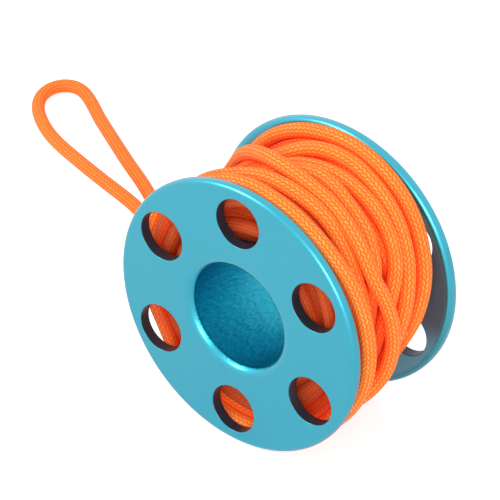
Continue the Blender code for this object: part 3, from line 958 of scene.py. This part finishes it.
@dataclass
class Winding:
    """The wound cord: the outer turns where the photograph shows them, and the layers under them."""

    sizes: SpoolSizes
    # Stations in a turn, the one that the first turn starts at, and how many are left out at that start.
    stations: int = 24
    first_station: int = -3
    left_out: int = 2
    # Fine stations and points of the drawn line in a span between two stations.
    fine: int = 4
    per_span: int = 6
    # How often a turn is laid and lifted, how often it is pulled tight each time, and what it lies clear of
    # the inner layers by.
    rounds: int = 12
    pulls: int = 60
    least_rise: float = 0.00001
    fit_gap: float = 0.0003
    # How far apart the middles of two turns that touch lie, as a share of the cord's diameter, and how far
    # out a turn's middle may be lifted, as a share of the flange radius.
    pressed: float = 0.93
    most_share: float = 0.945
    ring_step: float = 0.0007
    sides: int = 28
    # The inner layers, which climb from one to the next over the last few stations, and the smoothing of
    # the room that they fill under the outer turns.
    inner_layers: int = 4
    inner_pitch: float = 0.00321
    inner_stations: int = 72
    inner_start: int = 6
    inner_places: int = 33
    inner_climb: int = 10
    inner_ring_step: float = 0.0011
    inner_sides: int = 16
    room_least_of: int = 3
    room_mean_of: int = 5
    # How an inner turn sways along the axis: how far, how often in a turn, and its shift in each layer.
    sways: tuple[Place, ...] = ((0.00035, 2, 1.7), (0.0002, 5, 1))
    # Outer radius of the inner layers, as shares of the flange radius, every 15 degrees from the top.
    front_core_shares: tuple[float, ...] = (
        0.765, 0.785, 0.795, 0.780, 0.750, 0.735, 0.730, 0.730, 0.735, 0.745, 0.755, 0.762,
        0.765, 0.765, 0.767, 0.766, 0.760, 0.752, 0.745, 0.742, 0.745, 0.752, 0.756, 0.760,
    )
    back_core_shares: tuple[float, ...] = (
        0.700, 0.740, 0.765, 0.785, 0.785, 0.760, 0.715, 0.670, 0.645, 0.640, 0.645, 0.650,
        0.655, 0.655, 0.655, 0.655, 0.655, 0.655, 0.655, 0.655, 0.658, 0.662, 0.670, 0.682,
    )
    # The front layers pass into the back ones between these places, as shares of the inner half width.
    core_ramp_shares: Span = (-0.2, 0.3)
    # Where each outer turn lies along the axis, as shares of the flange radius, every 15 degrees from 45
    # degrees before the top, in the order they were wound.
    turn_shares: tuple[tuple[float, ...], ...] = (
        (0.099,) * 12 + (0.100,),
        (0.204,) * 12 + (0.205,),
        (0.309,) * 12 + (0.310,),
        (0.414,) * 13,
        (0.424, 0.427, 0.427, 0.427, 0.427, 0.424, 0.414, 0.372, 0.314, 0.246, 0.191, 0.170, 0.160),
        (-0.010, 0.040, 0.120, 0.245, 0.297, 0.291, 0.260, 0.198, 0.107, 0.040, 0.020, 0.010, 0.005),
        (-0.115, -0.065, 0.010, 0.110, 0.164, 0.177, 0.154, 0.085, -0.010, -0.070, -0.085, -0.095,
         -0.100, -0.105, -0.110, -0.115, -0.118, -0.122, -0.126, -0.130),
        (-0.217, -0.170, -0.100, -0.025, 0.033, 0.001, -0.027, -0.085, -0.140, -0.185, -0.195, -0.200,
         -0.205, -0.210, -0.214, -0.218, -0.221, -0.224, -0.227, -0.230),
        (-0.320, -0.320, -0.320, -0.320, -0.325, -0.325, -0.310, -0.310, -0.310, -0.310, -0.310, -0.310,
         -0.310, -0.316, -0.325, -0.334, -0.337, -0.335, -0.330, -0.328, -0.330),
        (-0.420, -0.425, -0.427, -0.425, -0.427, -0.427, -0.418, -0.401, -0.395, -0.391, -0.386, -0.390,
         -0.400, -0.412, -0.421, -0.425, -0.425, -0.425, -0.425, -0.424, -0.420),
        (-0.310, -0.310, -0.302, -0.267, -0.254, -0.235, -0.220, -0.250, -0.270, -0.270, -0.270, -0.270,
         -0.265),
        (0.200, 0.100, -0.022, -0.121, -0.139, -0.137, -0.169, -0.196, -0.138, -0.105, -0.105, -0.130,
         -0.155),
    )
    leaving_shares: tuple[float, ...] = (-0.175, -0.195, -0.210)
    # How far from the axis each of those places lies, as shares of the flange radius. At 0 the turn is laid
    # on what is under it.
    held_shares: tuple[tuple[float, ...], ...] = (
        (0.0,) * 13,
        (0.720, 0.740, 0.780, 0.815, 0.820, 0.830, 0.850, 0.850, 0.830, 0.780, 0.735, 0.715, 0.710),
        (0.740, 0.760, 0.795, 0.825, 0.840, 0.850, 0.850, 0.850, 0.840, 0.790, 0.735, 0.715, 0.710),
        (0.770, 0.805, 0.832, 0.852, 0.866, 0.870, 0.866, 0.860, 0.842, 0.800, 0.740, 0.715, 0.710),
        (0.875, 0.912, 0.938, 0.960, 0.975, 0.970, 0.955, 0.945, 0.930, 0.895, 0.845, 0.815, 0.800),
        (0.800, 0.820, 0.870, 0.938, 0.955, 0.955, 0.955, 0.955, 0.945, 0.905, 0.860, 0.820, 0.800),
        (0.800, 0.805, 0.830, 0.875, 0.905, 0.925, 0.945, 0.950, 0.890, 0.820, 0.795, 0.790, 0.785),
        (0.800, 0.805, 0.830, 0.900, 0.945, 0.950, 0.940, 0.900, 0.820, 0.795, 0.790, 0.790, 0.785),
        (0.800, 0.800, 0.800, 0.800, 0.800, 0.800, 0.800, 0.795, 0.795, 0.795, 0.790, 0.790, 0.795,
         0.830, 0.862, 0.888, 0.890, 0.875, 0.845),
        (0.875, 0.905, 0.940, 0.968, 0.972, 0.975, 0.978, 0.985, 0.985, 0.980, 0.965, 0.945, 0.930,
         0.930, 0.938, 0.940, 0.938, 0.918, 0.885, 0.858, 0.880, 0.915, 0.930),
        (0.880, 0.900, 0.925, 0.955, 0.965, 0.955, 0.895, 0.880, 0.875, 0.870, 0.865, 0.860, 0.850),
        (0.870, 0.915, 0.965, 1.000, 0.985, 0.980, 0.985, 0.985, 0.972, 0.962, 0.950, 0.922, 0.898,
         0.885, 0.876, 0.870),
    )
    outer: np.ndarray = field(default_factory=lambda: np.zeros((0, 3)))

    @property
    def step(self) -> float:
        """Angle between two stations."""
        return 2 * math.pi / self.stations

    def around(self, shares: Sequence[float], angle: float) -> float:
        """Reads a table with one share a station at any angle.

        Args:
            shares: The table.
            angle: The angle from the top.

        Returns:
            The share there.
        """
        place = (angle % (2 * math.pi)) / self.step
        low, part = int(place) % self.stations, place - int(place)
        return shares[low] * (1 - part) + shares[(low + 1) % self.stations] * part

    def core_radius(self, angle: float, along: float) -> float:
        """Outer radius of the inner layers.

        Args:
            angle: The place round the axis.
            along: The place along it.

        Returns:
            The radius there.
        """
        low, high = self.core_ramp_shares
        back = min(max((along / self.sizes.inner_face - low) / (high - low), 0.0), 1.0)
        front = self.around(self.front_core_shares, angle) * (1 - back)
        return self.sizes.flange_radius * (front + self.around(self.back_core_shares, angle) * back)

    def along_places(self) -> np.ndarray:
        """Axial place of every station: each turn runs on round the hidden side to the next.

        Returns:
            The places, in metres.
        """
        places: list[float] = []
        for turn, following in zip(self.turn_shares, self.turn_shares[1:]):
            hidden = self.stations - len(turn)
            places += turn
            places += [turn[-1] + (following[0] - turn[-1]) * i / (hidden + 1) for i in range(1, hidden + 1)]
        return np.array([*places, *self.turn_shares[-1], *self.leaving_shares]) * self.sizes.flange_radius

    def finer(self, values: np.ndarray) -> np.ndarray:
        """Values at every station, read at every fine station."""
        count = len(values)
        return np.interp(np.arange((count - 1) * self.fine + 1) / self.fine, np.arange(count), values)

    def relax(self, radius: np.ndarray, floor: np.ndarray, first: int, last: int) -> None:
        """Pulls one turn tight: straight between the places that hold it up.

        Args:
            radius: Radius of every station, which is changed.
            floor: Its least radius.
            first: The turn's first station.
            last: One past its last station.
        """
        pull = math.cos(self.step)
        for _ in range(self.pulls):
            for i in range(first, last):
                before = radius[i - 1] if i else radius[i]
                after = radius[i + 1] if i + 1 < last else radius[i]
                radius[i] = max(floor[i], 2 * before * after * pull / (before + after))

    def lift(self, radius: np.ndarray, along: np.ndarray, first: int, last: int) -> np.ndarray:
        """How much each station of one turn has to rise to rest on the turns laid before it.

        Where two turns touch, the cord is pressed a little flatter.

        Args:
            radius: Radius of every station so far.
            along: Axial place of every fine station.
            first: The turn's first station.
            last: One past its last station.

        Returns:
            The rise of each of the turn's stations.
        """
        needed = np.zeros(last - first)
        fine_radius = self.finer(radius)
        slope = np.gradient(along) / (self.sizes.flange_radius * self.step / self.fine)
        lean = 1 / np.sqrt(1 + slope ** 2)
        per_turn = self.stations * self.fine
        apart = self.pressed * self.sizes.line
        for i in range(max((first - 1) * self.fine + 1, 0), (last - 1) * self.fine + 1):
            wanted = 0.0
            for j in range(i - per_turn, -1, -per_turn):
                away = abs(along[i] - along[j]) * min(lean[i], lean[j])
                if away < apart:
                    wanted = max(wanted, fine_radius[j] + math.sqrt(apart ** 2 - away ** 2))
            short = wanted - fine_radius[i]
            if short <= self.least_rise:
                continue
            low, part = divmod(i, self.fine)
            part /= self.fine
            weight = (1 - part) ** 2 + part ** 2
            for station, share in ((low, 1 - part), (low + 1, part)):
                if share and first <= station < last:
                    needed[station - first] = max(needed[station - first], short * share / weight)
        return needed

    def lay(self) -> tuple[np.ndarray, np.ndarray, np.ndarray]:
        """Lays the outer turns: at the given places where they are seen, and one on another elsewhere.

        Returns:
            Angle, radius and axial place of every station.
        """
        along = self.along_places()
        count = len(along)
        angles = (np.arange(count) + self.first_station) * self.step
        held: list[float] = []
        for shares in self.held_shares:
            held += list(shares) + [0.0] * (self.stations - len(shares))
        core = np.array([self.core_radius(a, y) for a, y in zip(angles, along)])
        resting = core + self.sizes.line / 2 + self.fit_gap
        given = np.array(held[:count]) * self.sizes.flange_radius
        floor = np.where(given > 0, given, resting)
        fine_along = self.finer(along)
        radius = floor.copy()
        most = self.most_share * self.sizes.flange_radius
        for first in range(0, count, self.stations):
            last = min(first + self.stations, count)
            turn = slice(first, last)
            fixed = given[turn] > 0
            for _ in range(self.rounds):
                radius[turn] = floor[turn]
                self.relax(radius, floor, first, last)
                radius[turn] = np.where(fixed, given[turn], radius[turn])
                rise = np.where(fixed, 0.0, self.lift(radius, fine_along, first, last))
                if not rise.any():
                    break
                floor[turn] = np.where(fixed, radius[turn], np.minimum(radius[turn] + rise, most))
        return angles, radius, along

    def wind(self) -> np.ndarray:
        """Lays the outer turns and keeps them as smooth (angle, radius, along) rows.

        Returns:
            The same line, as points.
        """
        stations = np.stack(self.lay(), 1)[self.left_out:]
        self.outer = smooth_line(stations, self.per_span)
        return self.to_points(self.outer)

    def to_points(self, rows: np.ndarray) -> np.ndarray:
        """Turns (angle, radius, along) rows into points."""
        return np.array([self.sizes.place(*row) for row in rows])

    def room_under(self, angle: float, along: float) -> float:
        """How far out an inner turn's middle may lie under the outer turns.

        Args:
            angle: The place round the axis.
            along: The place along it.

        Returns:
            The radius.
        """
        per_turn = self.stations * self.per_span
        start = round((angle - self.outer[0, 0]) / self.step * self.per_span) % per_turn
        most = math.inf
        for _, radius, at in self.outer[start::per_turn]:
            away = abs(at - along)
            if away < self.sizes.line:
                most = min(most, radius - math.sqrt(self.sizes.line ** 2 - away ** 2))
        return most if most < math.inf else self.core_radius(angle, along) - self.sizes.line / 2

    def room(self, places: np.ndarray) -> np.ndarray:
        """The room under the outer turns, evened out round the axis.

        Args:
            places: Places along the axis.

        Returns:
            The most radius of an inner turn's middle, one row for each inner station.
        """
        count = self.inner_stations
        most = np.array([[self.room_under(2 * math.pi * i / count, y) for y in places] for i in range(count)])
        reach = (self.room_least_of + self.room_mean_of - 1) // 2
        spread = [np.roll(most, k, axis=0) for k in range(-reach, reach + 1)]
        least = [np.min(spread[k:k + self.room_least_of], axis=0) for k in range(self.room_mean_of)]
        return np.mean(least, axis=0)

    def inner_rows(self) -> np.ndarray:
        """The layers under the outer turns, wound to and fro from the hub outward.

        Returns:
            (angle, radius, along) rows.
        """
        line = self.sizes.line
        edge = self.sizes.inner_face - line / 2
        least = self.sizes.hub_radius + line / 2
        places = np.linspace(-edge, edge, self.inner_places)
        room = self.room(places)
        count = int(2 * edge / self.inner_pitch * self.inner_stations)
        rows = []
        for layer in range(self.inner_layers):
            for i in range(count):
                station = layer * count + i + self.inner_start
                angle = 2 * math.pi * station / self.inner_stations
                part = i / count if layer % 2 == 0 else 1 - i / count
                sway = sum(far * math.sin(often * angle + shift * layer) for far, often, shift in self.sways)
                along = min(max(-edge + 2 * edge * part + sway, -edge), edge)
                top = np.interp(along, places, room[station % self.inner_stations])
                climb = min(1.0, max(0.0, (i - count + self.inner_climb) / self.inner_climb))
                share = min((layer + climb) / (self.inner_layers - 1), 1.0)
                rows.append((angle, least + share * max(top - least, 0.0), along))
        return np.array(rows)

    def build(self, cords: CordMaker, outer: bpy.types.Material, inner: bpy.types.Material) -> None:
        """Sweeps and dresses the outer turns and the layers under them.

        Args:
            cords: What sweeps them.
            outer: The outer turns' material.
            inner: The inner layers' material.
        """
        turns = cords.sweep("wound_turns", self.to_points(self.outer), self.ring_step, self.sides, outer)
        settle(turns, Slot.CORD, Part.WINDING)
        points = self.to_points(self.inner_rows())
        layers = cords.sweep("inner_layers", points, self.inner_ring_step, self.inner_sides, inner)
        settle(layers, Slot.CORD, Part.CORE, Part.HITCH)


# The free cord


@dataclass
class FreeCord:
    """The cord from the underside of the winding, through the knot, round the loop and back into the knot."""

    sizes: SpoolSizes
    knot_place: Span = (-0.0510, 0.0264)
    knot_degrees: float = 149.5
    # How the strands lie in the knot, as shares of the cord's diameter: how far the pair and the cord's end
    # lie beside the middle, and how high the pair and the wraps lie.
    pair_aside: float = 0.57
    end_aside: float = 0.4
    pair_height: float = 1.1
    knot_height: float = 1.56
    # The wraps: how many, how far each end runs on in turns, and how many stations make a turn and tuck in
    # an end.
    wraps: int = 3
    wrap_overrun: float = 0.25
    wrap_stations: int = 32
    tuck_stations: int = 10
    # As shares of the cord's diameter: the radius at a tucked end, how much wider the wraps lie, and their
    # pitch.
    tuck_radius: float = 0.25
    wrap_widening: float = 0.80
    wrap_pitch: float = 1.02
    # How finely the cord is drawn, and how many of the winding's last spans give it its first direction.
    leaving_spans: int = 3
    per_span: int = 16
    easing: int = 30
    ring_step: float = 0.0005
    knot_ring_step: float = 0.0004
    sides: int = 32
    declared_every: int = 13
    # The route on the floor, in metres.
    lead_drop: tuple[Span, ...] = ((-0.0042, 0.00165), (-0.0084, 0.00054))
    lead_route: tuple[Span, ...] = (
        (-0.01350, -0.00060), (-0.02100, 0.00570), (-0.02850, 0.01200), (-0.03600, 0.01755),
    )
    loop_route: tuple[Span, ...] = (
        (-0.06225, 0.03096), (-0.06800, 0.03440), (-0.07500, 0.03740), (-0.08455, 0.04009),
        (-0.09172, 0.04214), (-0.09887, 0.04432), (-0.10530, 0.04640), (-0.11124, 0.04900),
        (-0.11655, 0.05234), (-0.12090, 0.05600), (-0.12390, 0.06030), (-0.12480, 0.06470),
        (-0.12310, 0.06840), (-0.11900, 0.06920), (-0.11340, 0.06640), (-0.10705, 0.06210),
        (-0.10176, 0.05885), (-0.09689, 0.05594), (-0.09126, 0.05256), (-0.08564, 0.04928),
        (-0.08021, 0.04630), (-0.07450, 0.04280), (-0.06820, 0.03880), (-0.06045, 0.03408),
    )

    def knot_frame(self) -> tuple[Vector, Vector, Vector]:
        """Where the knot lies.

        Returns:
            Its centre, the direction toward the loop, and the direction across it.
        """
        turned = math.radians(self.knot_degrees)
        centre = Vector((*self.knot_place, self.knot_height * self.sizes.line))
        along, aside = math.cos(turned), math.sin(turned)
        return centre, Vector((along, aside, 0)), Vector((aside, -along, 0))

    def strand(self, aside: float) -> Vector:
        """Where a strand passes the knot's middle.

        Args:
            aside: How many diameters beside it.

        Returns:
            The place.
        """
        centre, _, across = self.knot_frame()
        line = self.sizes.line
        return Vector((centre.x, centre.y, self.pair_height * line)) + across * (aside * line)

    def knot_exit(self, side: int, pair: int) -> list[Place]:
        """Two points straight out of one end of the knot.

        Args:
            side: 1 toward the loop, -1 toward the spool.
            pair: -1, 0 or 1: which strand of the pair.

        Returns:
            The points, from the knot outward.
        """
        line = self.sizes.line
        at, toward = self.strand(pair * self.pair_aside), self.knot_frame()[1]
        half = self.wraps * line / 2
        return [tuple(at + toward * (side * half)), tuple(at + toward * (side * (half + line)))]

    def route(self, winding: np.ndarray) -> np.ndarray:
        """The whole free cord, as a dense smooth line.

        Args:
            winding: The winding's last points.

        Returns:
            The points.
        """
        line = self.sizes.line
        floor = line / 2
        end, before = winding[-1], winding[-1 - self.leaving_spans]
        onward = (end - before) / np.linalg.norm(end - before)
        straight = end + onward * line
        last_x, last_y = self.lead_route[0]
        drop = []
        for x, rise in self.lead_drop:
            part = (x - straight[0]) / (last_x - straight[0])
            drop.append((x, straight[1] + (last_y - straight[1]) * part, min(floor + rise, straight[2])))
        points = [tuple(end), tuple(straight), *drop, *((x, y, floor) for x, y in self.lead_route)]
        points += self.knot_exit(-1, 0)[::-1]
        points += self.knot_exit(1, -1)
        points += [(x, y, floor) for x, y in self.loop_route]
        points += self.knot_exit(1, 1)[::-1]
        points.append(tuple(self.strand(self.end_aside)))
        dense = ease(smooth_line(np.array(points), self.per_span), self.ring_step, self.easing)
        dense[:, 2] = np.maximum(dense[:, 2], floor)
        return dense

    def wrap_line(self) -> np.ndarray:
        """The knot's wraps: a tight helix whose ends turn in under it.

        Returns:
            Its points.
        """
        centre, toward, across = self.knot_frame()
        line = self.sizes.line
        up = Vector((0, 0, 1))
        total = self.wraps + 2 * self.wrap_overrun
        count = int(total * self.wrap_stations)
        points = []
        for i in range(count + 1):
            turn = i / count * total - self.wrap_overrun
            angle = 2 * math.pi * turn
            inward = min(1.0, min(i, count - i) / self.tuck_stations)
            radius = line * (self.tuck_radius + self.wrap_widening * math.sin(inward * math.pi / 2))
            share = min(max(turn, 0.0), self.wraps) / self.wraps - 0.5
            along = share * (self.wraps - 1) * line * self.wrap_pitch
            round_it = across * (radius * math.sin(angle)) + up * (radius * math.cos(angle))
            points.append(tuple(centre + toward * along + round_it))
        return np.array(points)

    def build(self, winding: np.ndarray, cords: CordMaker, finish: bpy.types.Material) -> None:
        """Args:
            winding: The winding's last points.
            cords: What sweeps them.
            finish: The free cord's material.
        """
        dense = self.route(winding)
        cord = cords.sweep("free_cord", dense, self.ring_step, self.sides, finish)
        knot = cords.sweep("wrapped_knot", self.wrap_line(), self.knot_ring_step, self.sides, finish)
        settle(cord, Slot.CORD, Part.LEAD, Part.LOOP)
        settle(knot, Slot.CORD, Part.KNOT)


# Camera, floor and light


@dataclass(frozen=True)
class Softbox:
    """A square soft lamp: its name, its place, its side and its power in watts."""

    name: str
    place: Place
    size: float
    watts: float


@dataclass
class Studio:
    """The camera where the photograph was taken, a pale floor, and soft light."""

    azimuth_degrees: float = 39.17
    elevation_degrees: float = 32.55
    distance: float = 0.66
    aim: Place = (-0.016194, 0.007604, 0.027404)
    lens: float = 229.83
    sensor: float = 36.0
    seen_depth: Span = (0.01, 20.0)
    floor_size: float = 4.0
    floor_colour: Colour = (0.86, 0.86, 0.86, 1.0)
    floor_roughness: float = 0.9
    floor_glow: float = 0.62
    mirrored_glow: float = 0.05
    world_light: float = 0.6
    lamp_aim: Place = (0.0, 0.0, 0.03)
    lamps: tuple[Softbox, ...] = (
        Softbox("left_softbox", (-0.50, -0.50, 0.72), 0.4, 3.2),
        Softbox("front_softbox", (0.74, -0.77, 0.50), 0.5, 5.2),
    )

    def camera(self) -> None:
        """Makes the camera and sets it as the scene's."""
        azimuth, elevation = math.radians(self.azimuth_degrees), math.radians(self.elevation_degrees)
        level = math.cos(elevation)
        forward = Vector((-math.sin(azimuth) * level, math.cos(azimuth) * level, -math.sin(elevation)))
        data = bpy.data.cameras.new("photograph_camera")
        data.lens = self.lens
        data.sensor_width = self.sensor
        data.clip_start, data.clip_end = self.seen_depth
        made = link("photograph_camera", data)
        made.location = Vector(self.aim) - forward * self.distance
        made.rotation_euler = forward.to_track_quat("-Z", "Y").to_euler()
        bpy.context.scene.camera = made

    def sight(self, graph: Graph) -> tuple[Socket, Socket]:
        """Tells what kind of ray meets the surface.

        Args:
            graph: The material's or the world's graph.

        Returns:
            1 for camera rays, else 0, and 1 for glossy and transmission rays, else 0.
        """
        rays = graph.node("ShaderNodeLightPath").outputs
        mirrored = graph.math("MAXIMUM", rays["Is Glossy Ray"], rays["Is Transmission Ray"])
        return rays["Is Camera Ray"], mirrored

    def floor(self) -> None:
        """A pale floor, white to the eye, that still takes the object's soft shadow."""
        half = self.floor_size / 2
        corners = [(x, y, 0.0) for x, y in ((-half, -half), (half, -half), (half, half), (-half, half))]
        mesh = bpy.data.meshes.new("pale_floor")
        mesh.from_pydata(corners, [], [(0, 1, 2, 3)])
        material = bpy.data.materials.new("pale_floor")
        material.use_nodes = True
        nodes, graph = material.node_tree.nodes, Graph(material.node_tree)
        shader = nodes["Principled BSDF"]
        graph.fill(shader, {
            "Base Color": self.floor_colour, "Roughness": self.floor_roughness, "Specular IOR Level": 0.0,
        })
        direct, mirrored = self.sight(graph)
        direct = graph.math("MULTIPLY", direct, self.floor_glow)
        strength = graph.math("MULTIPLY_ADD", mirrored, self.mirrored_glow, direct)
        glow = graph.node("ShaderNodeEmission", {"Strength": strength})
        both = graph.node("ShaderNodeAddShader", {0: shader.outputs[0], 1: glow.outputs[0]})
        graph.fill(nodes["Material Output"], {"Surface": both.outputs[0]})
        mesh.materials.append(material)
        link("pale_floor", mesh)

    def world(self) -> None:
        """A white surround to the eye, and an even soft light on the object."""
        made = bpy.data.worlds.new("pale_surround")
        made.use_nodes = True
        graph = Graph(made.node_tree)
        seen = graph.math("MAXIMUM", *self.sight(graph))
        strength = graph.math("MULTIPLY_ADD", seen, 1.0 - self.world_light, self.world_light)
        graph.fill(made.node_tree.nodes["Background"], {"Color": (1.0, 1.0, 1.0, 1.0), "Strength": strength})
        bpy.context.scene.world = made

    def light(self, lamp: Softbox) -> None:
        """Places a lamp that faces the object.

        Args:
            lamp: The lamp.
        """
        data = bpy.data.lights.new(lamp.name, "AREA")
        data.shape = "SQUARE"
        data.size = lamp.size
        data.energy = lamp.watts
        made = link(lamp.name, data)
        made.location = lamp.place
        made.rotation_euler = (Vector(self.lamp_aim) - Vector(lamp.place)).to_track_quat("-Z", "Y").to_euler()

    def build(self) -> None:
        """Places the camera, the floor, the surround and the lamps."""
        self.camera()
        self.floor()
        self.world()
        for lamp in self.lamps:
            self.light(lamp)
        bpy.context.scene.view_settings.view_transform = "Standard"


def main() -> None:
    """Builds the camera, the cords and then the metal, and reports each piece."""
    logging.basicConfig(level=logging.INFO, format="%(name)s: %(message)s")
    sizes = SpoolSizes()
    Studio().build()
    grain, braid = grain_group(), braid_group()
    # The free cord has no painted shade toward the axis and a weaker painted highlight; the inner layers a
    # weaker painted glow.
    free = CordFinish("free_cord_braid", sizes, crown_highlight=(1.0, 0.38, 0.07, 1.0), deepest_shade=0.0).build(braid, grain)
    outer = CordFinish("wound_cord_braid", sizes).build(braid, grain)
    inner = CordFinish("inner_cord_braid", sizes, glow=(0.03, 0.0, 0.0, 1.0)).build(braid, grain)
    cords = CordMaker(cord_tree(), sizes.line)
    winding = Winding(sizes)
    FreeCord(sizes).build(winding.wind(), cords, free)
    winding.build(cords, outer, inner)
    metal = MetalFinish("teal_anodised_metal", sizes).build(grain)
    TurnedBody(sizes).build(metal)


if __name__ == "__main__":
    main()
